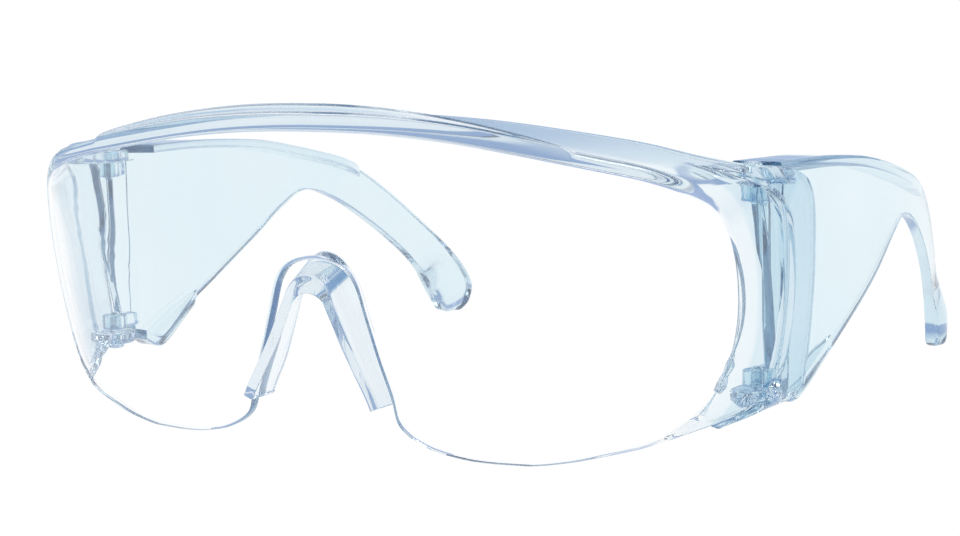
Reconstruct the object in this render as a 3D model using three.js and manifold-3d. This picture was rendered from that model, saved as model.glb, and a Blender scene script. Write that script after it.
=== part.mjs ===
// Clear over-spectacle safety glasses in millimetres: +Z up, the wearer looks along -Y,
// and the origin is on the centre plane, under the middle of the length, on the surface
// that the glasses stand on. Inside the group, y = 0 is near the front of the lens.
import * as THREE from 'three';
import { mergeVertices } from 'three/addons/utils/BufferGeometryUtils.js';
import Module from 'manifold-3d';

const wasm = await Module();
wasm.setup();

// Driving dimensions
const WALL = 2.2;
const GAP = 0.3;
const ROUND_SEGMENTS = 24;
const FACE_FRONT = -6;
const FACE_CURVE = 4.6e-7;
const TILT_MIDDLE = 0.04;
const TILT_SIDE = 0.14;
const HALF_WIDTH = 72.5;
const TILT_LEVEL = 50;
const LENGTH_MIDDLE = 70.35;

const HINGE_X = 68.6;
const HINGE_Y = 24;
const KNUCKLE_RADIUS = 2.5;
const KNUCKLE_HEIGHT = 2.8;
const PIN_RADIUS = 1;
const HOLE_RADIUS = PIN_RADIUS + GAP;
const HOLE_LENGTH = 60;
const PIN_HEAD_RADIUS = 1.7;
const PIN_HEAD_HEIGHT = 1;
const LUG_HEIGHT = 2.4;
const LUG_RADIUS = 4;
const TOP_LUG_Z = 46.2;
const BOTTOM_LUG_Z = 9.8;
const TOP_LUG_ROOT = [[64.6, 21], [68.6, 17], [71.6, 14.5], [74.9, 22], [75.4, HINGE_Y]];
const BOTTOM_LUG_ROOT = [[64.6, 22], [67.5, 18.5], [71, 17.5], [72.4, 21], [73.3, HINGE_Y]];

const TEMPLE_WALL = 2.2;
const TEMPLE_START = 30.5;
const TAB_START = 20.6;
const TAB_FOOT = 26.8;
const TAB_OVERLAP = 2;
const TAB_OUTSIDE = 71;
const PAD_SWELL = 2.6;

// The front's three outlines, from the centre to the lower end of one side, station by station:
// lower edge (x, z), front corner (x, z), and rear edge of the brow and side wall (x, y, z).
const LOWER_EDGE = [
  [0, 33.3], [4.9, 32.2], [7.8, 29.2], [9.8, 23], [12, 16], [14.1, 10.2], [15.7, 5],
  [20.5, 1.9], [27, 0.4], [33, 0], [39, 0], [46, 1], [52, 2.4], [57, 3.7],
];
const FRONT_CORNER = [
  [0, 57.9], [14, 57.6], [28, 56.4], [41, 54.4], [53, 52.1], [61, 50.2], [66.2, 47.6],
  [69.8, 43.6], [71.8, 38], [72.5, 31], [71.9, 23.5], [69.6, 15.8], [66, 9.3], [61.5, 5.2],
];
const REAR_EDGE = [
  [0, 10, 57.8], [14, 10.3, 57.6], [27, 11.3, 56.8], [40, 13, 55.3], [53, 15, 53.4],
  [63, 15.6, 51.4], [71, 16.2, 50.2], [76.3, 22, 49.2], [78, 27.6, 45.5], [78, 29, 35],
  [77.4, 29.4, 25], [76.5, 29.3, 15.8], [75, 28.5, 10.2], [68.6, 18, 7.8],
];
const LAST = FRONT_CORNER.length - 1;
const LAST_TURN = 12;
const FACE_ROWS = 5;
const STEP_START = 5;
const STEP_OUT = 1.5;
const STEP_PLACE = 0.6;
const WALL_SHARES = [STEP_PLACE, 0.66, 0.82, 1];

const LIP_HALF_LENGTH = 50;
const LIP_HEIGHT = 2.6;
const LIP_WALL = 1.6;

// Nose saddle: inside profile (x, z) at its front rim and at its rear rim
const SADDLE_FRONT = -7.6;
const SADDLE_REAR = -0.4;
const SADDLE_WALL = 2;
const SADDLE_CROWN = 1.4;
const SADDLE_CROWN_END = 1.6;
const SADDLE_FRONT_RIM = [
  [0, 27.6], [2.6, 26.6], [4.4, 23.4], [6.4, 19.2], [8.8, 14.8], [11, 10.9], [12.3, 8.2],
];
const SADDLE_REAR_RIM = [
  [0, 31.2], [3.2, 30.3], [5.3, 27.3], [7.2, 21.4], [9.3, 15.2], [11.3, 10.9], [12.5, 8.2],
];

// Temple: upper edge and lower edge (y, z), station by station
const UPPER_EDGE = [
  [30.5, 49.4], [38, 49.3], [52, 48.9], [68, 47.6], [82, 45.4], [94.5, 42.9], [104, 40.6],
  [112, 37.6], [122.2, 31.4], [133, 23.2], [140.5, 16.8], [145.6, 11.4], [148.2, 6.6],
  [147.4, 2.4], [145.2, 0],
];
const UNDER_EDGE = [
  [30.5, 9.4], [37, 7.4], [48, 12.4], [62, 18.8], [75, 25.2], [86, 31.4], [94, 34.2],
  [104.5, 31.2], [116.5, 24.4], [126.6, 17], [132.3, 11.4], [136, 6.4], [138.4, 3],
  [139.8, 0.9], [141.8, 0],
];
const FLANGE_WIDTH = 7;
const FLANGE_HEIGHT = 2;
const FLANGE_END = 0.5;
const UNDER_LIP_WIDTH = 3.4;
const UNDER_LIP_END = 0.17;
const ARM_START = 63;
const ARM_CURVE = 0.0019;
const ARM_FLARE = 0.02;
const TAB_JOGGLE = 1.2;

const CLEAR = { roughness: 0.06, metalness: 0, transparent: true, opacity: 0.35 };
const LENS_COLOUR = 0xe9f2f6;
const TEMPLE_COLOUR = 0xdcebf3;
const SADDLE_COLOUR = 0xdde8f2;
const PIN_COLOUR = 0xe4eef2;

function solidFrom(geometry) {
  geometry.deleteAttribute('normal');
  geometry.deleteAttribute('uv');
  const merged = mergeVertices(geometry, 1e-4);
  const mesh = new wasm.Mesh({
    numProp: 3,
    vertProperties: merged.attributes.position.array,
    triVerts: new Uint32Array(merged.index.array),
  });
  mesh.merge();
  return new wasm.Manifold(mesh);
}

function geometryFrom(solid) {
  const mesh = solid.getMesh();
  const geometry = new THREE.BufferGeometry();
  geometry.setAttribute('position', new THREE.BufferAttribute(mesh.vertProperties, 3));
  geometry.setIndex(new THREE.BufferAttribute(mesh.triVerts, 1));
  geometry.computeVertexNormals();
  return geometry;
}

// A box of cells bent into a sheet: place(along, depth, up) takes 0..1 on each axis.
function bentSheet(alongCells, upCells, place) {
  const box = new THREE.BoxGeometry(1, 1, 1, alongCells, 1, upCells);
  const position = box.attributes.position;
  for (let i = 0; i < position.count; i += 1) {
    const point = place(position.getX(i) + 0.5, position.getY(i) + 0.5, position.getZ(i) + 0.5);
    position.setXYZ(i, point.x, point.y, point.z);
  }
  return solidFrom(box);
}

// Smooth value between the stations of a table, at a station number that need not be whole
function between(table, station) {
  const index = Math.min(Math.floor(station), table.length - 2);
  const t = station - index;
  return table[index].map((_, axis) => {
    const b = table[index][axis];
    const c = table[index + 1][axis];
    const a = index > 0 ? table[index - 1][axis] : mirroredStart(table, axis);
    const d = index + 2 < table.length ? table[index + 2][axis] : 2 * c - b;
    const bend = 2 * a - 5 * b + 4 * c - d + t * (3 * (b - c) + d - a);
    return b + 0.5 * t * (c - a + t * bend);
  });
}

// Before the first station a closed outline goes on as its mirror image, an open one straight on
function mirroredStart(table, axis) {
  const startsOnCentre = table[0][0] === 0;
  if (!startsOnCentre) return 2 * table[0][axis] - table[1][axis];
  return axis === 0 ? -table[1][0] : table[1][axis];
}

function faceDepth(x, z) {
  const side = Math.abs(x) / HALF_WIDTH;
  const tilt = TILT_MIDDLE + TILT_SIDE * side * side;
  return FACE_FRONT + FACE_CURVE * x ** 4 + tilt * (TILT_LEVEL - z);
}

function onFace([x, z]) {
  return new THREE.Vector3(x, faceDepth(x, z), z);
}

function faceInward([x, z]) {
  const step = 0.01;
  const slopeX = (faceDepth(x + step, z) - faceDepth(x - step, z)) / (2 * step);
  const slopeZ = (faceDepth(x, z + step) - faceDepth(x, z - step)) / (2 * step);
  return new THREE.Vector3(-slopeX, 1, -slopeZ).normalize();
}

// Direction from the outer to the inner surface of the brow and side wall
function wallInward(station) {
  const here = Math.min(Math.max(station, 0.02), LAST_TURN);
  const front = onFace(between(FRONT_CORNER, here));
  const rear = new THREE.Vector3(...between(REAR_EDGE, here));
  const next = new THREE.Vector3(...between(REAR_EDGE, here + 0.02));
  const before = new THREE.Vector3(...between(REAR_EDGE, here - 0.02));
  const back = rear.sub(front);
  return back.cross(next.sub(before)).normalize();
}

// How much of the side wall's outward step a station has: none on the brow, all on the side
function stepShare(station) {
  return THREE.MathUtils.smoothstep(station, STEP_START, STEP_START + 3);
}

function frontPoint(along, depth, up) {
  const signed = (along * 2 - 1) * LAST;
  const station = Math.abs(signed);
  const rows = FACE_ROWS + WALL_SHARES.length;
  const row = Math.round(up * rows);
  const corner = between(FRONT_CORNER, station);
  const inWall = wallInward(station);
  const point = new THREE.Vector3();
  if (row <= FACE_ROWS) {
    const share = row / FACE_ROWS;
    const lower = between(LOWER_EDGE, station);
    const place = lower.map((value, axis) => value + (corner[axis] - value) * share);
    place[1] = Math.max(place[1], 0);
    point.copy(onFace(place));
    point.addScaledVector(faceInward(place), depth * WALL);
    if (row === 0) point.z = place[1];
    point.addScaledVector(inWall, depth * WALL * share ** 2);
  } else {
    const share = WALL_SHARES[row - FACE_ROWS - 1];
    const rear = new THREE.Vector3(...between(REAR_EDGE, station));
    point.copy(onFace(corner)).lerp(rear, share);
    const stepped = share > STEP_PLACE ? (1 - share) / (1 - STEP_PLACE) : 0;
    point.addScaledVector(inWall, -STEP_OUT * stepShare(station) * stepped);
    point.addScaledVector(inWall, depth * WALL);
    point.addScaledVector(faceInward(corner), depth * WALL * (1 - share) ** 2 * 0.6);
  }
  point.x = Math.max(point.x, 0);
  if (station === 0) point.x = 0;
  if (signed < 0) point.x = -point.x;
  return point;
}

function frontShell() {
  return bentSheet(4 * LAST, FACE_ROWS + WALL_SHARES.length, frontPoint);
}

// Crescent lip that stands on the front edge of the brow
function browLip() {
  return bentSheet(32, 1, (along, depth, up) => {
    const x = (along * 2 - 1) * LIP_HALF_LENGTH;
    const top = topHeight(Math.abs(x));
    const height = LIP_HEIGHT * Math.sqrt(1 - 0.96 * (along * 2 - 1) ** 2);
    const z = top - 1 + up * (height + 0.7);
    const y = faceDepth(x, top) + 0.1 + depth * LIP_WALL;
    return new THREE.Vector3(x, y, z);
  });
}

function topHeight(x) {
  let station = 0;
  while (between(FRONT_CORNER, station)[0] < x) station += 0.02;
  return between(FRONT_CORNER, station)[1];
}

function cylinder(radius, height, x, y, z) {
  const geometry = new THREE.CylinderGeometry(radius, radius, height, ROUND_SEGMENTS);
  geometry.rotateX(Math.PI / 2);
  geometry.translate(x, y, z + height / 2);
  return solidFrom(geometry);
}

function block(fromX, toX, fromY, toY, fromZ, toZ) {
  const geometry = new THREE.BoxGeometry(toX - fromX, toY - fromY, toZ - fromZ);
  geometry.translate((fromX + toX) / 2, (fromY + toY) / 2, (fromZ + toZ) / 2);
  return solidFrom(geometry);
}

// Hinge lug: a flat tongue with a round end on the hinge axis, rooted in the side wall
function lug(side, z, root) {
  const shape = new THREE.Shape(root.map(([x, y]) => new THREE.Vector2(x, y)));
  shape.lineTo(HINGE_X + LUG_RADIUS, HINGE_Y);
  shape.absarc(HINGE_X, HINGE_Y, LUG_RADIUS, 0, Math.PI, false);
  shape.closePath();
  const options = { depth: LUG_HEIGHT, bevelEnabled: false, curveSegments: 12 };
  const geometry = new THREE.ExtrudeGeometry(shape, options);
  geometry.translate(0, 0, z);
  const solid = solidFrom(geometry);
  return side > 0 ? solid : solid.mirror([1, 0, 0]);
}

function frontLens() {
  let solid = frontShell().add(browLip());
  for (const side of [1, -1]) {
    solid = solid.add(lug(side, TOP_LUG_Z, TOP_LUG_ROOT));
    solid = solid.add(lug(side, BOTTOM_LUG_Z, BOTTOM_LUG_ROOT));
    solid = solid.subtract(cylinder(HOLE_RADIUS, HOLE_LENGTH, side * HINGE_X, HINGE_Y, 0));
    const headRoom = PIN_HEAD_RADIUS + GAP;
    solid = solid.subtract(cylinder(headRoom, BOTTOM_LUG_Z, side * HINGE_X, HINGE_Y, 0));
  }
  return geometryFrom(solid);
}

// Saddle: one clear rim bent over the nose opening, wider at the back than at the front
function noseSaddle() {
  const last = SADDLE_FRONT_RIM.length - 1;
  return geometryFrom(bentSheet(6 * last, 2, (along, depth, up) => {
    const signed = (along * 2 - 1) * last;
    const station = Math.abs(signed);
    const front = between(SADDLE_FRONT_RIM, station);
    const rear = between(SADDLE_REAR_RIM, station);
    const [x, z] = front.map((value, axis) => value + (rear[axis] - value) * (1 - up));
    const ahead = between(SADDLE_REAR_RIM, Math.min(station + 0.05, last));
    const behind = between(SADDLE_REAR_RIM, Math.max(station - 0.05, 0));
    const outward = new THREE.Vector2(behind[1] - ahead[1], ahead[0] - behind[0]).normalize();
    if (station < 0.01) outward.set(0, 1);
    const crown = Math.max(0, 1 - (station / SADDLE_CROWN_END) ** 2) ** 2;
    const offset = (SADDLE_WALL + SADDLE_CROWN * crown) * depth;
    const sideX = x + outward.x * offset;
    const y = SADDLE_REAR + (SADDLE_FRONT - SADDLE_REAR) * up;
    return new THREE.Vector3(Math.sign(signed) * sideX, y, z + outward.y * offset);
  }));
}

// The temple's outer face in plan: nearly straight from the hinge, then curving in behind the ear
function templeOutside(y) {
  const curved = ARM_CURVE * Math.max(0, y - ARM_START) ** 2;
  const joggle = TAB_JOGGLE * THREE.MathUtils.smoothstep(y, 26, 46);
  return TAB_OUTSIDE + joggle + ARM_FLARE * Math.max(0, y - 40) - curved;
}

function templeEdge(table, share) {
  return between(table, share * (table.length - 1));
}

function templePanel() {
  const cells = (UPPER_EDGE.length - 1) * 3;
  return bentSheet(cells, 4, (along, depth, up) => {
    const upper = templeEdge(UPPER_EDGE, along);
    const under = templeEdge(UNDER_EDGE, along);
    const [y, z] = under.map((value, axis) => value + (upper[axis] - value) * up);
    const padShare = THREE.MathUtils.smoothstep(along, 0.72, 0.8);
    const crown = 4 * up * (1 - up);
    const swell = PAD_SWELL * padShare * (0.35 + 0.65 * crown);
    const outside = templeOutside(y) + swell;
    const inside = templeOutside(y) - TEMPLE_WALL;
    return new THREE.Vector3(inside + (outside - inside) * (1 - depth), y, z);
  });
}

// A flange along one edge of the panel, turned inward, narrowing to nothing at its far end
function templeFlange(table, width, farEnd, fromEdge) {
  return bentSheet(24, 1, (along, depth, up) => {
    const [y, z] = templeEdge(table, along * farEnd);
    const reach = 0.4 + width * Math.sqrt(1 - along ** 2);
    const start = templeOutside(y) - 0.8;
    return new THREE.Vector3(start - depth * (reach + 0.8), y, z + fromEdge + up * FLANGE_HEIGHT);
  });
}

// Front end of the temple: a flat tab whose front edge leans back towards its foot
function templeTab(bottom, top) {
  return bentSheet(1, 1, (along, depth, up) => {
    const start = TAB_FOOT + (TAB_START - TAB_FOOT) * up;
    const y = start + (TEMPLE_START + TAB_OVERLAP - start) * along;
    return new THREE.Vector3(TAB_OUTSIDE - TEMPLE_WALL * depth, y, bottom + (top - bottom) * up);
  });
}

function temple() {
  let solid = templePanel();
  solid = solid.add(templeFlange(UPPER_EDGE, FLANGE_WIDTH, FLANGE_END, -FLANGE_HEIGHT - 0.02));
  solid = solid.add(templeFlange(UNDER_EDGE, UNDER_LIP_WIDTH, UNDER_LIP_END, 0.02));
  const tabTop = TOP_LUG_Z - GAP;
  const tabBottom = BOTTOM_LUG_Z + LUG_HEIGHT + GAP;
  solid = solid.add(templeTab(tabBottom, tabTop));
  const webStart = HINGE_X - KNUCKLE_RADIUS + 1;
  for (const [z, webLength] of [[tabTop - KNUCKLE_HEIGHT, 3], [tabBottom, 5.4]]) {
    const webEnd = HINGE_Y + webLength;
    solid = solid.add(cylinder(KNUCKLE_RADIUS, KNUCKLE_HEIGHT, HINGE_X, HINGE_Y, z));
    solid = solid.add(block(webStart, TAB_OUTSIDE, HINGE_Y, webEnd, z, z + KNUCKLE_HEIGHT));
  }
  return solid.subtract(cylinder(HOLE_RADIUS, TOP_LUG_Z, HINGE_X, HINGE_Y, 0));
}

// Hinge pin with a low head; it points down through the top hinge and up through the bottom one
function hingePin(upward) {
  const length = LUG_HEIGHT + GAP + KNUCKLE_HEIGHT + 0.5;
  const profile = [
    new THREE.Vector2(0, 0),
    new THREE.Vector2(PIN_HEAD_RADIUS - 0.3, 0),
    new THREE.Vector2(PIN_HEAD_RADIUS, 0.3),
    new THREE.Vector2(PIN_HEAD_RADIUS, PIN_HEAD_HEIGHT),
    new THREE.Vector2(PIN_RADIUS, PIN_HEAD_HEIGHT),
    new THREE.Vector2(PIN_RADIUS, PIN_HEAD_HEIGHT + GAP + length - 0.3),
    new THREE.Vector2(PIN_RADIUS - 0.3, PIN_HEAD_HEIGHT + GAP + length),
    new THREE.Vector2(0, PIN_HEAD_HEIGHT + GAP + length),
  ];
  const geometry = new THREE.LatheGeometry(profile, 20);
  geometry.rotateX(Math.PI / 2);
  if (!upward) geometry.rotateX(Math.PI);
  const solid = solidFrom(geometry);
  return geometryFrom(solid);
}

function clearPiece(name, geometry, colour) {
  const material = new THREE.MeshStandardMaterial({ color: colour, ...CLEAR });
  const mesh = new THREE.Mesh(geometry, material);
  mesh.name = name;
  return mesh;
}

const group = new THREE.Group();
group.position.y = -LENGTH_MIDDLE;
group.add(clearPiece('front_lens', frontLens(), LENS_COLOUR));
group.add(clearPiece('nose_saddle', noseSaddle(), SADDLE_COLOUR));
const leftTemple = temple();
group.add(clearPiece('left_temple', geometryFrom(leftTemple), TEMPLE_COLOUR));
group.add(clearPiece('right_temple', geometryFrom(leftTemple.mirror([1, 0, 0])), TEMPLE_COLOUR));
for (const [side, sign] of [['left', 1], ['right', -1]]) {
  const top = clearPiece(`${side}_top_hinge_pin`, hingePin(false), PIN_COLOUR);
  top.position.set(sign * HINGE_X, HINGE_Y, TOP_LUG_Z + LUG_HEIGHT + GAP + PIN_HEAD_HEIGHT);
  const bottom = clearPiece(`${side}_bottom_hinge_pin`, hingePin(true), PIN_COLOUR);
  bottom.position.set(sign * HINGE_X, HINGE_Y, BOTTOM_LUG_Z - GAP - PIN_HEAD_HEIGHT);
  group.add(top, bottom);
}

export default group;
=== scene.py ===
import math
import bmesh
import bpy
import numpy as np
from mathutils import Matrix


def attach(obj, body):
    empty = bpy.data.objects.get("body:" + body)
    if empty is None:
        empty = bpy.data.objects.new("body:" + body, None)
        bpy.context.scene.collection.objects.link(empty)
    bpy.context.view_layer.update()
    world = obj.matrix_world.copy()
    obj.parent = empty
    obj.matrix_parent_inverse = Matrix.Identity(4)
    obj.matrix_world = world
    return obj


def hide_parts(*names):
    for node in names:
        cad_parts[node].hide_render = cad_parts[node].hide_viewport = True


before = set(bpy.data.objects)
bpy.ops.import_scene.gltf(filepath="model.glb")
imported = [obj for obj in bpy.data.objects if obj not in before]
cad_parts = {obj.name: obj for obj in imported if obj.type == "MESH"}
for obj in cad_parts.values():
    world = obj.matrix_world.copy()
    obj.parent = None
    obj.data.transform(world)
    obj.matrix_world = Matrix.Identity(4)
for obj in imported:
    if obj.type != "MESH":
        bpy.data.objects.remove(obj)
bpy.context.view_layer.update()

# ---------------------------------------------------------------------------------------
# FRONT: one wrap-round lens with a brow shelf and two side shields, all one moulding.
# It is clear polycarbonate, injection moulded in a polished tool, 2.2 mm thick, with every
# rim broken by a small radius so that it catches the light as a line.
MM = 0.001
LENGTH_MIDDLE = 70.35
WALL = 2.2
FACE_FRONT = -6
FACE_CURVE = 4.6e-7
TILT_MIDDLE = 0.04
TILT_SIDE = 0.14
HALF_WIDTH = 72.5
TILT_LEVEL = 50
STEP_OUT = 1.5
STEP_PLACE = 0.6
STEP_RUN = 0.05
LIP_HALF_LENGTH = 50
LIP_HEIGHT = 2.3
LIP_WALL = 1.6
BROW_ROUND = 1.4
HOLLOW_ROUND = 0.8
SIDE_ROUND = 2.2
RIM_ROUND = 0.75
COLUMNS_PER_STATION = 14
FACE_ROWS = 16
CREASE_ROWS = 6
SHARP_ANGLE = 38
BORE_BOTTOM = 2
BORE_TOP = 60
UNROUNDED = 0.01

LOWER_EDGE = np.array([
    [0, 33.3], [4.9, 32.2], [7.8, 29.2], [9.8, 23], [12, 16], [14.1, 10.2], [15.7, 5],
    [20.5, 1.9], [27, 0.4], [33, 0], [39, 0], [46, 1], [52, 2.4], [57, 3.7]])
FRONT_CORNER = np.array([
    [0, 57.9], [14, 57.6], [28, 56.4], [41, 54.4], [53, 52.1], [61, 50.2], [66.2, 47.6],
    [69.8, 43.6], [71.8, 38], [72.5, 31], [71.9, 23.5], [69.6, 15.8], [66, 9.3], [61.5, 5.2]])
REAR_EDGE = np.array([
    [0, 10, 57.8], [14, 10.3, 57.6], [27, 11.3, 56.8], [40, 13, 55.3], [53, 15, 53.4],
    [63, 15.6, 51.4], [71, 16.2, 50.2], [76.3, 22, 49.2], [78, 27.6, 45.5], [78, 29, 35],
    [77.4, 29.4, 25], [76.5, 29.3, 15.8], [75, 28.5, 10.2], [68.6, 18, 7.8]])
LAST_STATION = len(FRONT_CORNER) - 1
LAST_TURN = 12


def between(table, station):
    """Smooth value between the stations of a table; a closed outline is mirrored before its start."""
    index = min(int(station), len(table) - 2)
    t = station - index
    b, c = table[index], table[index + 1]
    if index > 0:
        a = table[index - 1]
    elif b[0] == 0:
        a = table[1] * np.array([-1] + [1] * (len(b) - 1))
    else:
        a = 2 * b - c
    d = table[index + 2] if index + 2 < len(table) else 2 * c - b
    return b + 0.5 * t * (c - a + t * (2 * a - 5 * b + 4 * c - d + t * (3 * (b - c) + d - a)))


def smoothstep(value, low, high):
    t = min(max((value - low) / (high - low), 0), 1)
    return t * t * (3 - 2 * t)


def unit(vector):
    return vector / np.linalg.norm(vector)


def face_depth(x, z):
    side = abs(x) / HALF_WIDTH
    tilt = TILT_MIDDLE + TILT_SIDE * side * side
    return FACE_FRONT + FACE_CURVE * x ** 4 + tilt * (TILT_LEVEL - z)


def on_face(place):
    return np.array([place[0], face_depth(place[0], place[1]), place[1]])


def face_inward(place):
    step = 0.01
    x, z = place
    slope_x = (face_depth(x + step, z) - face_depth(x - step, z)) / (2 * step)
    slope_z = (face_depth(x, z + step) - face_depth(x, z - step)) / (2 * step)
    return unit(np.array([-slope_x, 1, -slope_z]))


def wall_inward(station):
    here = min(max(station, 0.02), LAST_TURN)
    back = between(REAR_EDGE, here) - on_face(between(FRONT_CORNER, here))
    along = between(REAR_EDGE, here + 0.02) - between(REAR_EDGE, here - 0.02)
    return unit(np.cross(back, along))


def side_step(station, share):
    """Outward step in the side shield, part way back; there is none on the brow."""
    on_side = smoothstep(station, 5, 8)
    raised = smoothstep(share, STEP_PLACE - STEP_RUN / 2, STEP_PLACE + STEP_RUN / 2)
    return STEP_OUT * on_side * raised * min(1, (1 - share) / (1 - STEP_PLACE))


def curve_through(corners, rows):
    """Rounded path from the first to the last point, bent towards each corner on the way."""
    points = []
    joints = [corners[0]]
    for one, two in zip(corners[1:-2], corners[2:-1]):
        joints.append((one + two) / 2)
    joints.append(corners[-1])
    for start, bend, end in zip(joints[:-1], corners[1:-1], joints[1:]):
        for row in range(rows):
            t = (row + 1) / rows
            points.append((1 - t) ** 2 * start + 2 * t * (1 - t) * bend + t * t * end)
    return points


def front_section(station):
    """Outer and inner surface of the front at one station, from its lower edge to its rear edge."""
    lower = between(LOWER_EDGE, station)
    lower[1] = max(lower[1], 0)
    corner_place = between(FRONT_CORNER, station)
    corner = on_face(corner_place)
    rear = between(REAR_EDGE, station)
    face_in = face_inward(corner_place)
    wall_in = wall_inward(station)
    inner_corner = corner + WALL * (face_in + wall_in) / (1 + face_in @ wall_in)
    face_slide = inner_corner - corner - WALL * face_in
    wall_slide = inner_corner - corner - WALL * wall_in
    face_length = np.linalg.norm(corner - on_face(lower))
    wall_length = np.linalg.norm(rear - corner)

    def face(t, inside):
        place = lower + (corner_place - lower) * t
        point = on_face(place)
        return point + WALL * face_inward(place) + face_slide * t ** 3 if inside else point

    def wall(t, inside):
        point = corner + (rear - corner) * t - wall_in * side_step(station, t)
        return point + WALL * wall_in + wall_slide * (1 - t) ** 3 if inside else point

    lip = max(0, 1 - (corner_place[0] / LIP_HALF_LENGTH) ** 2) ** 0.5
    turn = BROW_ROUND + (SIDE_ROUND - BROW_ROUND) * smoothstep(station, 4.5, 8)
    turn = min(turn, 0.4 * face_length)
    up = unit(corner - face(0.9, False))
    back = unit(rear - corner)
    shelf_start = turn + (LIP_WALL + 0.6) * lip
    raised = smoothstep(lip, 0, 0.4)
    crest = [face(1 - turn / face_length, False), corner + up * LIP_HEIGHT * lip,
             corner + up * LIP_HEIGHT * lip + back * LIP_WALL * lip,
             corner + back * (LIP_WALL + 0.2) * lip, wall(shelf_start / wall_length, False)]
    inner_turn = min(HOLLOW_ROUND, 0.35 * face_length)
    inner_face_end = 1 - inner_turn / face_length
    inner_start = inner_turn / wall_length
    hollow = [face(inner_face_end, True), inner_corner, wall(inner_start, True)]

    outer = [face(t, False) for t in np.linspace(0, 1 - turn / face_length, FACE_ROWS)]
    inner = [face(t, True) for t in np.linspace(0, inner_face_end, FACE_ROWS)]
    rounded = curve_through([crest[0], corner, crest[-1]], CREASE_ROWS * 3)
    ridged = curve_through(crest, CREASE_ROWS)
    outer += [plain + (lipped - plain) * raised for plain, lipped in zip(rounded, ridged)]
    inner += curve_through(hollow, CREASE_ROWS * 3)
    for start, points, inside in ((shelf_start / wall_length, outer, False), (inner_start, inner, True)):
        first = np.linspace(start, STEP_PLACE - STEP_RUN, 12)[1:]
        second = np.linspace(STEP_PLACE - STEP_RUN, STEP_PLACE + STEP_RUN, 9)[1:]
        third = np.linspace(STEP_PLACE + STEP_RUN, 1, 12)[1:]
        points += [wall(t, inside) for t in np.concatenate([first, second, third])]
    return np.array(outer), np.array(inner)


def bowed_rim(outer, inner, beyond, spacing, radius):
    """Points across a rim from the outer to the inner surface, rounded off at both corners."""
    middle, half = (outer + inner) / 2, (outer - inner) / 2
    reach = min(radius, 0.55 * spacing)
    points = []
    for step in range(1, 8):
        angle = math.pi * step / 8
        side = math.copysign(abs(math.cos(angle)) ** 0.6, math.cos(angle))
        points.append(middle + half * side + beyond * reach * (math.sin(angle) ** 0.6 - 1))
    return outer - beyond * reach, inner - beyond * reach, points


def sheet_mesh(outer, inner, radius):
    """One closed solid from two matching grids of points in mm, with a rounded rim all the way round."""
    columns, rows = outer.shape[:2]
    loop = [(i, 0) for i in range(columns)]
    loop += [(columns - 1, j) for j in range(1, rows)]
    loop += [(i, rows - 1) for i in range(columns - 2, -1, -1)]
    loop += [(0, j) for j in range(rows - 2, 0, -1)]
    placed_outer, placed_inner, rims = outer.copy(), inner.copy(), []
    for i, j in loop:
        inside = (min(max(i, 1), columns - 2), min(max(j, 1), rows - 2))
        away = outer[i, j] - outer[inside]
        placed_outer[i, j], placed_inner[i, j], rim = bowed_rim(
            outer[i, j], inner[i, j], unit(away), np.linalg.norm(away), radius)
        rims.append(rim)
    solid = bmesh.new()

    def add(point):
        return solid.verts.new((point[0] * MM, (point[1] - LENGTH_MIDDLE) * MM, point[2] * MM))

    skins = [[[add(grid[i, j]) for j in range(rows)] for i in range(columns)]
             for grid in (placed_outer, placed_inner)]
    for i in range(columns - 1):
        for j in range(rows - 1):
            for skin, turn in zip(skins, (1, -1)):
                quad = [skin[i][j], skin[i + 1][j], skin[i + 1][j + 1], skin[i][j + 1]]
                solid.faces.new(quad[::turn])
    ribs = [[skins[0][i][j]] + [add(point) for point in rim] + [skins[1][i][j]]
            for (i, j), rim in zip(loop, rims)]
    for one, two in zip(ribs, ribs[1:] + ribs[:1]):
        for step in range(len(one) - 1):
            solid.faces.new([one[step], one[step + 1], two[step + 1], two[step]])
    bmesh.ops.dissolve_degenerate(solid, dist=1e-7, edges=solid.edges)
    bmesh.ops.recalc_face_normals(solid, faces=solid.faces)
    return solid


def piece_from(name, solid):
    mesh = bpy.data.meshes.new(name)
    solid.to_mesh(mesh)
    solid.free()
    piece = bpy.data.objects.new(name, mesh)
    bpy.context.scene.collection.objects.link(piece)
    return piece


def plate(outline, low, high, bevel):
    """Flat plate with a bevelled outline, standing on level low and topped at level high, in mm."""
    solid = bmesh.new()
    ring = [solid.verts.new((x * MM, (y - LENGTH_MIDDLE) * MM, low * MM)) for x, y in outline]
    base = solid.faces.new(ring)
    raised = bmesh.ops.extrude_face_region(solid, geom=[base])["geom"]
    lifted = [item for item in raised if isinstance(item, bmesh.types.BMVert)]
    bmesh.ops.translate(solid, verts=lifted, vec=(0, 0, (high - low) * MM))
    bmesh.ops.recalc_face_normals(solid, faces=solid.faces)
    level = [edge for edge in solid.edges if abs(edge.verts[0].co.z - edge.verts[1].co.z) < 1e-6]
    bmesh.ops.bevel(solid, geom=level, offset=bevel * MM, segments=4, profile=0.5, affect="EDGES")
    return solid


def merge(piece, others, operation):
    """Joins other solids to a piece, or cuts them from it, and leaves one clean solid."""
    for other in others:
        cut = piece.modifiers.new("merge", "BOOLEAN")
        cut.object, cut.operation, cut.solver = other, operation, "EXACT"
        bpy.context.view_layer.update()
        solved = piece.evaluated_get(bpy.context.evaluated_depsgraph_get())
        merged = bpy.data.meshes.new_from_object(solved)
        piece.modifiers.clear()
        piece.data = merged
        bpy.data.objects.remove(other)


def smooth_shaded(piece):
    piece.data.polygons.foreach_set("use_smooth", [True] * len(piece.data.polygons))
    piece.data.set_sharp_from_angle(angle=math.radians(SHARP_ANGLE))


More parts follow.
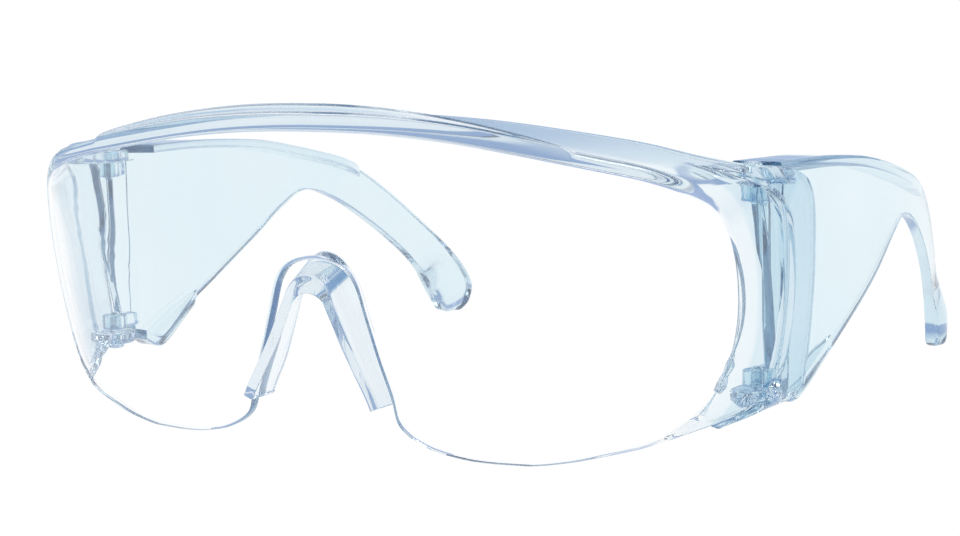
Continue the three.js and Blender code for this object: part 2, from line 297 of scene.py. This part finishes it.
def arc(x, y, radius, start, end, steps):
    angles = [math.radians(start + (end - start) * step / steps) for step in range(steps + 1)]
    return [(x + radius * math.cos(angle), y + radius * math.sin(angle)) for angle in angles]


HINGE_X = 68.6
HINGE_Y = 24
HOLE_RADIUS = 1.3
LUG_HALF_WIDTH = 4
LUG_HEIGHT = 2.4
TOP_LUG_Z = 46.2
BOTTOM_LUG_Z = 9.8
PIN_HEAD_RADIUS = 1.7
HEAD_ROOM = 0.3
LUG_BEVEL = 0.5
# Each lug grows out of the inside of the side wall: these points lie within the wall.
TOP_LUG_ROOT = [(64.6, 21), (68.6, 17), (71.6, 14.5), (74.9, 22), (75.4, HINGE_Y)]
BOTTOM_LUG_ROOT = [(64.6, 22), (67.5, 18.5), (71, 17.5), (72.4, 21), (73.3, HINGE_Y)]


def lug_outline(side, root):
    outline = root + [(HINGE_X + LUG_HALF_WIDTH + 0.01, HINGE_Y)]
    outline += arc(HINGE_X, HINGE_Y, LUG_HALF_WIDTH, 0, 180, 24)
    return [(side * x, y) for x, y in outline]


def circle_outline(x, radius):
    return arc(x, HINGE_Y, radius, 0, 345, 23)


stations = np.linspace(0, LAST_STATION, LAST_STATION * COLUMNS_PER_STATION + 1)
half_front = [front_section(station) for station in stations]
sides = []
for skin in (0, 1):
    half = np.array([section[skin] for section in half_front])
    half[0, :, 0] = 0
    other_half = half[:0:-1] * np.array([-1, 1, 1])
    sides.append(np.concatenate([other_half, half]))
front = piece_from("clear_front", sheet_mesh(sides[0], sides[1], RIM_ROUND))
lugs, holes = [], []
for side in (1, -1):
    for root, level in ((TOP_LUG_ROOT, TOP_LUG_Z), (BOTTOM_LUG_ROOT, BOTTOM_LUG_Z)):
        lugs.append(piece_from("lug", plate(lug_outline(side, root), level, level + LUG_HEIGHT, LUG_BEVEL)))
    bore = plate(circle_outline(side * HINGE_X, HOLE_RADIUS), BORE_BOTTOM, BORE_TOP, UNROUNDED)
    head_room = plate(circle_outline(side * HINGE_X, PIN_HEAD_RADIUS + HEAD_ROOM), 1, BOTTOM_LUG_Z, UNROUNDED)
    holes += [piece_from("bore", bore), piece_from("head_room", head_room)]
merge(front, lugs, "UNION")
merge(front, holes, "DIFFERENCE")
smooth_shaded(front)


def linear(hex_colour):
    """An sRGB hex colour as linear light, with full alpha."""
    channels = [int(hex_colour[i:i + 2], 16) / 255 for i in (1, 3, 5)]
    return tuple(c / 12.92 if c <= 0.04045 else ((c + 0.055) / 1.055) ** 2.4 for c in channels) + (1.0,)


def node(tree, kind, inputs=None, **settings):
    """Adds one node: inputs fill its sockets, by name or number, with a value or another's output."""
    made = tree.nodes.new(kind)
    for name, value in settings.items():
        setattr(made, name, value)
    for place, value in (inputs or {}).items():
        if isinstance(value, bpy.types.NodeSocket):
            tree.links.new(value, made.inputs[place])
        else:
            made.inputs[place].default_value = value
    return made


# The face of the lens is clear, and the painted reflection (a pale blue tint standing in for the blue room
# that the walls show at a slant) comes in between these depths behind it, in mm.
REFLECTION_PAINT_START_DEPTH = 2.9
REFLECTION_PAINT_FULL_DEPTH = 3.7


def mark_tint_and_painted_reflection(piece, paint_wall_reflection=False):
    """Stores on each point how strongly its surface is tinted: all over on a plain part, and on the lens only
    the walls behind the clear face, where the tint is a painted reflection of the blue room seen at a slant.
    """
    mark = piece.data.attributes.new("tint", "FLOAT", "POINT")
    for point, vertex in zip(mark.data, piece.data.vertices):
        x, y, z = (c / MM for c in vertex.co)
        behind = y + LENGTH_MIDDLE - face_depth(x, z)
        point.value = smoothstep(behind, REFLECTION_PAINT_START_DEPTH, REFLECTION_PAINT_FULL_DEPTH) if paint_wall_reflection else 1


POLYCARBONATE_IOR = 1.586
HANDLING_MM = 3.5
FLOW_MM = 30


def moulded_polycarbonate(name, edge_tint, tint_and_painted_reflection_colour, density, ripple_mm, ripple_depth_mm, haze):
    """Clear polycarbonate: long paths inside it turn blue, flow ripples bend what is seen through it, and the
    tint mark turns its surface colour pale blue: the plastic's own tint, and on the lens walls a painted
    reflection.
    """
    material = bpy.data.materials.new(name)
    material.use_nodes = True
    tree = material.node_tree
    tree.nodes.clear()
    place = node(tree, "ShaderNodeTexCoord").outputs["Object"]
    ripple = node(tree, "ShaderNodeTexNoise", {
        "Vector": place, "Scale": 1 / (ripple_mm * MM), "Detail": 1.5, "Roughness": 0.45})
    bump = node(tree, "ShaderNodeBump", {
        "Height": ripple.outputs["Fac"], "Strength": 1.0, "Distance": ripple_depth_mm * MM})
    handling = node(tree, "ShaderNodeTexNoise", {
        "Vector": place, "Scale": 1 / (HANDLING_MM * MM), "Detail": 5.0, "Roughness": 0.7})
    polish = node(tree, "ShaderNodeMapRange", {
        "Value": handling.outputs["Fac"], "From Min": 0.35, "From Max": 0.75,
        "To Min": haze * 0.4, "To Max": haze})
    flow = node(tree, "ShaderNodeTexNoise", {
        "Vector": place, "Scale": 1 / (FLOW_MM * MM), "Detail": 2.0, "Roughness": 0.5})
    cloud = node(tree, "ShaderNodeMapRange", {
        "Value": flow.outputs["Fac"], "To Min": 0.6, "To Max": 1.1})
    # The tint mark mixes the surface colour from white towards the tint colour: the plastic's own tint on the
    # other parts, a painted reflection on the lens walls.
    mark = node(tree, "ShaderNodeAttribute", attribute_name="tint")
    share = node(tree, "ShaderNodeMath", {0: mark.outputs["Fac"], 1: cloud.outputs["Result"]},
                 operation="MULTIPLY")
    colour = node(tree, "ShaderNodeMix", {
        0: share.outputs["Value"], 6: linear("#FFFFFF"), 7: linear(tint_and_painted_reflection_colour)}, data_type="RGBA")
    shell = node(tree, "ShaderNodeBsdfPrincipled", {
        "Base Color": colour.outputs[2], "Roughness": polish.outputs["Result"],
        "Normal": bump.outputs["Normal"], "IOR": POLYCARBONATE_IOR, "Transmission Weight": 1.0})
    inside = node(tree, "ShaderNodeVolumeAbsorption", {"Color": linear(edge_tint), "Density": density})
    node(tree, "ShaderNodeOutputMaterial", {
        "Surface": shell.outputs["BSDF"], "Volume": inside.outputs["Volume"]})
    return material


# Polycarbonate from a mirror-polished tool: almost no haze and very long, shallow ripples, so the
# face reads as empty; the walls behind it are painted faintly blue, a painted reflection of the blue room
# they show at a slant.
lens_plastic = moulded_polycarbonate(
    "polished_clear_polycarbonate", "#86AFCB", "#D2E6F0", 12, 22, 0.003, 0.03)
# Painted reflection: the lens walls behind the face get the pale blue tint in place of the blue room they
# reflect at a slant; the face stays clear.
mark_tint_and_painted_reflection(front, paint_wall_reflection=True)
front.data.materials.append(lens_plastic)
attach(front, "front")
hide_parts("front_lens")

# ---------------------------------------------------------------------------------------
# NOSE SADDLE: one clear bridge bent over the nose opening, wider behind than in front.
# Moulded from the same polycarbonate, 2 mm thick, and seated in the opening of the lens.
SADDLE_FRONT = -7.6
SADDLE_REAR = -0.4
SADDLE_WALL = 2
SADDLE_CROWN = 1.4
SADDLE_CROWN_END = 1.6
SADDLE_RIM_ROUND = 0.8
SADDLE_FRONT_RIM = np.array([
    [0, 27.6], [2.6, 26.6], [4.4, 23.4], [6.4, 19.2], [8.8, 14.8], [11, 10.9], [12.3, 8.2]])
SADDLE_REAR_RIM = np.array([
    [0, 31.2], [3.2, 30.3], [5.3, 27.3], [7.2, 21.4], [9.3, 15.2], [11.3, 10.9], [12.5, 8.2]])
SADDLE_LAST = len(SADDLE_FRONT_RIM) - 1


def saddle_row(station, up):
    front_rim = between(SADDLE_FRONT_RIM, station)
    rear_rim = between(SADDLE_REAR_RIM, station)
    place = front_rim + (rear_rim - front_rim) * (1 - up)
    ahead = between(SADDLE_REAR_RIM, min(station + 0.05, SADDLE_LAST))
    behind = between(SADDLE_REAR_RIM, max(station - 0.05, 0))
    outward = np.array([0, 1])
    if station > 0.01:
        outward = unit(np.array([behind[1] - ahead[1], ahead[0] - behind[0]]))
    y = SADDLE_REAR + (SADDLE_FRONT - SADDLE_REAR) * up
    crown = max(0, 1 - (station / SADDLE_CROWN_END) ** 2) ** 2
    outer = place + outward * (SADDLE_WALL + SADDLE_CROWN * crown)
    return (outer[0], y, outer[1]), (place[0], y, place[1])


saddle_skins = []
for skin in (0, 1):
    half = np.array([[saddle_row(station, up)[skin] for up in np.linspace(0, 1, 13)]
                     for station in np.linspace(0, SADDLE_LAST, 73)])
    half[0, :, 0] = 0
    saddle_skins.append(np.concatenate([half[:0:-1] * np.array([-1, 1, 1]), half]))
saddle = piece_from("clear_nose_saddle", sheet_mesh(saddle_skins[0], saddle_skins[1], SADDLE_RIM_ROUND))
smooth_shaded(saddle)
mark_tint_and_painted_reflection(saddle)
# The same plastic from a less polished part of the tool: shorter ripples break up the light that
# runs along its legs, and it has hardly any tint.
saddle.data.materials.append(moulded_polycarbonate(
    "soft_edged_clear_polycarbonate", "#7FA9C8", "#F1F8FB", 26, 9, 0.008, 0.04))
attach(saddle, "front")
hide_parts("nose_saddle")

# ---------------------------------------------------------------------------------------
# TEMPLES: two flat clear arms, moulded with a flange turned inward along the upper edge and
# a short lip along the lower one, and thickened into a smooth pad behind the ear.
TAB_OUTSIDE = 71
TEMPLE_WALL = 2.2
TEMPLE_START = 30.5
TAB_START = 20.6
TAB_FOOT = 26.8
PAD_SWELL = 2.6
FLANGE_WIDTH = 7
FLANGE_HEIGHT = 2
FLANGE_END = 0.5
UNDER_LIP_WIDTH = 3.4
UNDER_LIP_END = 0.17
ARM_START = 63
ARM_CURVE = 0.0019
ARM_FLARE = 0.02
TAB_JOGGLE = 1.2
TIP_START = 0.88
KNUCKLE_RADIUS = 2.5
KNUCKLE_HEIGHT = 2.8
KNUCKLE_BEVEL = 0.3
TOP_WEB_LENGTH = 3
BOTTOM_WEB_LENGTH = 5.4
GAP = 0.3
SEATING = 0.02
FLANGE_ROOT = 0.8
FLANGE_TIP = 0.4
PANEL_COLUMNS = 169
PANEL_ROWS = 25
FLANGE_COLUMNS = 73
TAB_ROWS = 41
EDGE_ROWS = 9
UPPER_EDGE = np.array([
    [30.5, 49.4], [38, 49.3], [52, 48.9], [68, 47.6], [82, 45.4], [94.5, 42.9], [104, 40.6],
    [112, 37.6], [122.2, 31.4], [133, 23.2], [140.5, 16.8], [145.6, 11.4], [148.2, 6.6],
    [147.4, 2.4], [145.2, 0]])
UNDER_EDGE = np.array([
    [30.5, 9.4], [37, 7.4], [48, 12.4], [62, 18.8], [75, 25.2], [86, 31.4], [94, 34.2],
    [104.5, 31.2], [116.5, 24.4], [126.6, 17], [132.3, 11.4], [136, 6.4], [138.4, 3],
    [139.8, 0.9], [141.8, 0]])


def temple_outside(y):
    joggle = TAB_JOGGLE * smoothstep(y, 26, 46)
    return TAB_OUTSIDE + joggle + ARM_FLARE * max(0, y - 40) - ARM_CURVE * max(0, y - ARM_START) ** 2


def temple_edge(table, share):
    return between(table, share * (len(table) - 1))


def temple_panel():
    outer, inner = [], []
    for share in np.linspace(0, 1, PANEL_COLUMNS):
        upper, under = temple_edge(UPPER_EDGE, share), temple_edge(UNDER_EDGE, share)
        pad = smoothstep(share, 0.68, 0.82)
        closing = math.sqrt(1 - (max(0, share - TIP_START) / (1 - TIP_START)) ** 2)
        for up in np.linspace(0, 1, PANEL_ROWS):
            y, z = under + (upper - under) * up
            swell = PAD_SWELL * pad * (0.35 + 0.65 * 4 * up * (1 - up))
            half = (TEMPLE_WALL + swell) / 2
            middle = temple_outside(y) + swell - half
            half *= 0.25 + 0.75 * closing
            outer.append((middle + half, y, z))
            inner.append((middle - half, y, z))
    shape = (PANEL_COLUMNS, PANEL_ROWS, 3)
    return sheet_mesh(np.array(outer).reshape(shape), np.array(inner).reshape(shape), 0.9)


def temple_flange(table, width, far_end, from_edge):
    top, under = [], []
    for share in np.linspace(0, 1, FLANGE_COLUMNS):
        y, z = temple_edge(table, share * far_end)
        start = temple_outside(y) - FLANGE_ROOT
        reach = FLANGE_ROOT + FLANGE_TIP + width * math.sqrt(1 - share ** 2)
        for depth in np.linspace(0, 1, EDGE_ROWS):
            x = start - depth * reach
            top.append((x, y, z + from_edge + FLANGE_HEIGHT))
            under.append((x, y, z + from_edge))
    shape = (FLANGE_COLUMNS, EDGE_ROWS, 3)
    return sheet_mesh(np.array(top).reshape(shape), np.array(under).reshape(shape), 0.6)


def rectangle(from_x, to_x, from_y, to_y):
    return [(from_x, from_y), (to_x, from_y), (to_x, to_y), (from_x, to_y)]


def leaning_tab():
    outer, inner = [], []
    for up in np.linspace(0, 1, TAB_ROWS):
        z = tab_bottom + (tab_top - tab_bottom) * up
        front_edge = TAB_FOOT + (TAB_START - TAB_FOOT) * up
        for along in np.linspace(0, 1, EDGE_ROWS):
            y = front_edge + (TEMPLE_START + 2 - front_edge) * along
            outer.append((TAB_OUTSIDE, y, z))
            inner.append((TAB_OUTSIDE - TEMPLE_WALL, y, z))
    shape = (TAB_ROWS, EDGE_ROWS, 3)
    return sheet_mesh(np.array(outer).reshape(shape), np.array(inner).reshape(shape), 0.7)


tab_top = TOP_LUG_Z - GAP
tab_bottom = BOTTOM_LUG_Z + LUG_HEIGHT + GAP
temple = piece_from("left_clear_temple", temple_panel())
additions = [
    piece_from("flange", temple_flange(UPPER_EDGE, FLANGE_WIDTH, FLANGE_END, -FLANGE_HEIGHT - SEATING)),
    piece_from("lip", temple_flange(UNDER_EDGE, UNDER_LIP_WIDTH, UNDER_LIP_END, SEATING)),
    piece_from("tab", leaning_tab()),
]
for z, web_length in ((tab_top - KNUCKLE_HEIGHT, TOP_WEB_LENGTH), (tab_bottom, BOTTOM_WEB_LENGTH)):
    knuckle = plate(circle_outline(HINGE_X, KNUCKLE_RADIUS), z, z + KNUCKLE_HEIGHT, KNUCKLE_BEVEL)
    web = rectangle(HINGE_X - KNUCKLE_RADIUS + 1, TAB_OUTSIDE - 0.1, HINGE_Y, HINGE_Y + web_length)
    additions += [piece_from("knuckle", knuckle)]
    additions += [piece_from("web", plate(web, z + 0.05, z + KNUCKLE_HEIGHT - 0.05, KNUCKLE_BEVEL))]
merge(temple, additions, "UNION")
bore = plate(circle_outline(HINGE_X, HOLE_RADIUS), BORE_BOTTOM, BORE_TOP, UNROUNDED)
merge(temple, [piece_from("bore", bore)], "DIFFERENCE")
smooth_shaded(temple)
mark_tint_and_painted_reflection(temple)
# The same plastic in a broad thin panel: a faint blue body and slow ripples bend what lies behind.
temple_plastic = moulded_polycarbonate(
    "moulded_clear_temple_polycarbonate", "#7FB4D0", "#DCEFF6", 24, 16, 0.008, 0.05)
temple.data.materials.clear()
temple.data.materials.append(temple_plastic)
mirrored = bmesh.new()
mirrored.from_mesh(temple.data)
bmesh.ops.transform(mirrored, matrix=Matrix.Scale(-1, 4, (1, 0, 0)), verts=mirrored.verts)
bmesh.ops.reverse_faces(mirrored, faces=mirrored.faces)
other_temple = piece_from("right_clear_temple", mirrored)
smooth_shaded(other_temple)
other_temple.data.materials.append(temple_plastic)
for piece, side in ((temple, "left"), (other_temple, "right")):
    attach(piece, side + "_temple")
    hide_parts(side + "_temple")

# ---------------------------------------------------------------------------------------
# HINGE PINS: four short clear pegs with a low domed head, pressed through the lugs of the
# front into the knuckles of the temples. They are moulded in the same plastic.
PIN_RADIUS = 1
PIN_HEAD_HEIGHT = 1
PIN_SIDES = 36
PIN_LENGTH = LUG_HEIGHT + GAP + KNUCKLE_HEIGHT + 0.5


def hinge_pin(x, base, direction):
    neck = PIN_HEAD_HEIGHT + GAP + PIN_LENGTH
    profile = [(0.01, 0), (0.9, 0.02), (1.35, 0.12), (1.6, 0.32), (PIN_HEAD_RADIUS, 0.6),
               (PIN_HEAD_RADIUS, 0.85), (1.6, PIN_HEAD_HEIGHT), (PIN_RADIUS, PIN_HEAD_HEIGHT),
               (PIN_RADIUS, neck - 0.3), (PIN_RADIUS - 0.3, neck), (0.01, neck)]
    solid = bmesh.new()
    rings = []
    for radius, height in profile:
        ring = arc(x, HINGE_Y, radius, 0, 360 - 360 / PIN_SIDES, PIN_SIDES - 1)
        z = (base + direction * height) * MM
        rings.append([solid.verts.new((px * MM, (py - LENGTH_MIDDLE) * MM, z)) for px, py in ring])
    for lower, upper in zip(rings, rings[1:]):
        for k in range(PIN_SIDES):
            other = (k + 1) % PIN_SIDES
            solid.faces.new([lower[k], lower[other], upper[other], upper[k]])
    solid.faces.new(rings[0])
    solid.faces.new(rings[-1])
    bmesh.ops.recalc_face_normals(solid, faces=solid.faces)
    return solid


# The same plastic in a small peg: short ripples make it glint where it shows through the lugs.
pin_plastic = moulded_polycarbonate(
    "clear_pin_polycarbonate", "#7FA9C8", "#E6F0F4", 14, 3, 0.006, 0.05)
for side, sign in (("left", 1), ("right", -1)):
    levels = {"top": (TOP_LUG_Z + LUG_HEIGHT + GAP + PIN_HEAD_HEIGHT, -1),
              "bottom": (BOTTOM_LUG_Z - GAP - PIN_HEAD_HEIGHT, 1)}
    for place, (base, direction) in levels.items():
        pin = piece_from(f"{side}_{place}_pin", hinge_pin(sign * HINGE_X, base, direction))
        smooth_shaded(pin)
        mark_tint_and_painted_reflection(pin)
        pin.data.materials.append(pin_plastic)
        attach(pin, "front")
        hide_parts(f"{side}_{place}_hinge_pin")

# ---------------------------------------------------------------------------------------
# STUDIO: a table that gives off white light, before a plain white backdrop. What the plastic
# reflects is a room with a pale blue band above the horizon and a dark blue ceiling, which shape
# its edges and creases, and one soft light hangs overhead.
FLOOR_RADIUS = 6
FLOOR_GLOW = 1.03
ROOM_GLOW = 1.03
CEILING_LEVEL = 0.95
CEILING_BLUE = "#1E2F5A"
ROOM_BANDS = ((0.05, "#9DB3D6"), (0.28, "#9DB3D6"), (0.5, "#F4F8FA"), (0.78, "#F4F8FA"))
TABLE_DROP = 0.0003


def white_table():
    disc = bmesh.new()
    bmesh.ops.create_circle(disc, cap_ends=True, segments=64, radius=FLOOR_RADIUS)
    bmesh.ops.translate(disc, verts=disc.verts, vec=(0, 0, -TABLE_DROP))
    table = piece_from("table", disc)
    surface = bpy.data.materials.new("lit_white_acrylic")
    surface.use_nodes = True
    surface.node_tree.nodes.clear()
    glow = node(surface.node_tree, "ShaderNodeEmission", {
        "Color": linear("#FFFFFF"), "Strength": FLOOR_GLOW})
    node(surface.node_tree, "ShaderNodeOutputMaterial", {"Surface": glow.outputs["Emission"]})
    table.data.materials.append(surface)


def studio_room():
    world = bpy.data.worlds.new("studio")
    bpy.context.scene.world = world
    world.use_nodes = True
    tree = world.node_tree
    tree.nodes.clear()
    direction = node(tree, "ShaderNodeTexCoord").outputs["Generated"]
    parts = node(tree, "ShaderNodeSeparateXYZ", {"Vector": direction})
    shade = node(tree, "ShaderNodeValToRGB", {"Fac": parts.outputs["Z"]})
    stops = shade.color_ramp.elements
    stops[0].position, stops[0].color = 0, linear("#FFFFFF")
    stops[1].position, stops[1].color = CEILING_LEVEL, linear(CEILING_BLUE)
    for height, colour in ROOM_BANDS:
        stops.new(height).color = linear(colour)
    room = node(tree, "ShaderNodeBackground", {"Color": shade.outputs["Color"], "Strength": ROOM_GLOW})
    backdrop = node(tree, "ShaderNodeBackground", {"Color": linear("#FFFFFF"), "Strength": ROOM_GLOW})
    seen = node(tree, "ShaderNodeLightPath").outputs["Is Camera Ray"]
    either = node(tree, "ShaderNodeMixShader", {
        0: seen, 1: room.outputs["Background"], 2: backdrop.outputs["Background"]})
    node(tree, "ShaderNodeOutputWorld", {"Surface": either.outputs["Shader"]})


def soft_light(name, x, y, z, size, power):
    lamp = bpy.data.lights.new(name, "AREA")
    lamp.shape, lamp.size, lamp.energy = "DISK", size, power
    holder = bpy.data.objects.new(name, lamp)
    holder.location = (x, y, z)
    aim = -holder.location.normalized()
    holder.rotation_euler = aim.to_track_quat("-Z", "Y").to_euler()
    bpy.context.scene.collection.objects.link(holder)


white_table()
studio_room()
soft_light("overhead_softbox", 0.3, -0.5, 0.9, 0.5, 4)

CAMERA_PLACE = (0.2048, -0.37225, 0.0793)
AZIMUTH = math.radians(30.09)
ELEVATION = math.radians(7.58)
ROLL = math.radians(-0.85)
LENS_MM = 79.2
SENSOR_MM = 36
# Light is caught inside clear walls for many bounces: with few allowed, the rims turn black.
INSIDE_BOUNCES = 64
forward = np.array([-math.sin(AZIMUTH) * math.cos(ELEVATION),
                    math.cos(AZIMUTH) * math.cos(ELEVATION), -math.sin(ELEVATION)])
level = np.array([math.cos(AZIMUTH), math.sin(AZIMUTH), 0])
upright = np.cross(level, forward)
right = level * math.cos(ROLL) + upright * math.sin(ROLL)
up = np.cross(right, forward)
camera = bpy.data.objects.new("camera", bpy.data.cameras.new("camera"))
camera.data.lens = LENS_MM
camera.data.sensor_width = SENSOR_MM
camera.data.clip_start = 0.01
camera.matrix_world = Matrix([
    [right[k], up[k], -forward[k], CAMERA_PLACE[k]] for k in range(3)] + [[0, 0, 0, 1]])
bpy.context.scene.collection.objects.link(camera)
bpy.context.scene.camera = camera
bpy.context.scene.view_settings.view_transform = "Standard"
bpy.context.scene.cycles.max_bounces = INSIDE_BOUNCES
bpy.context.scene.cycles.transmission_bounces = INSIDE_BOUNCES
bpy.context.scene.cycles.transparent_max_bounces = 16
bpy.context.scene.cycles.glossy_bounces = INSIDE_BOUNCES
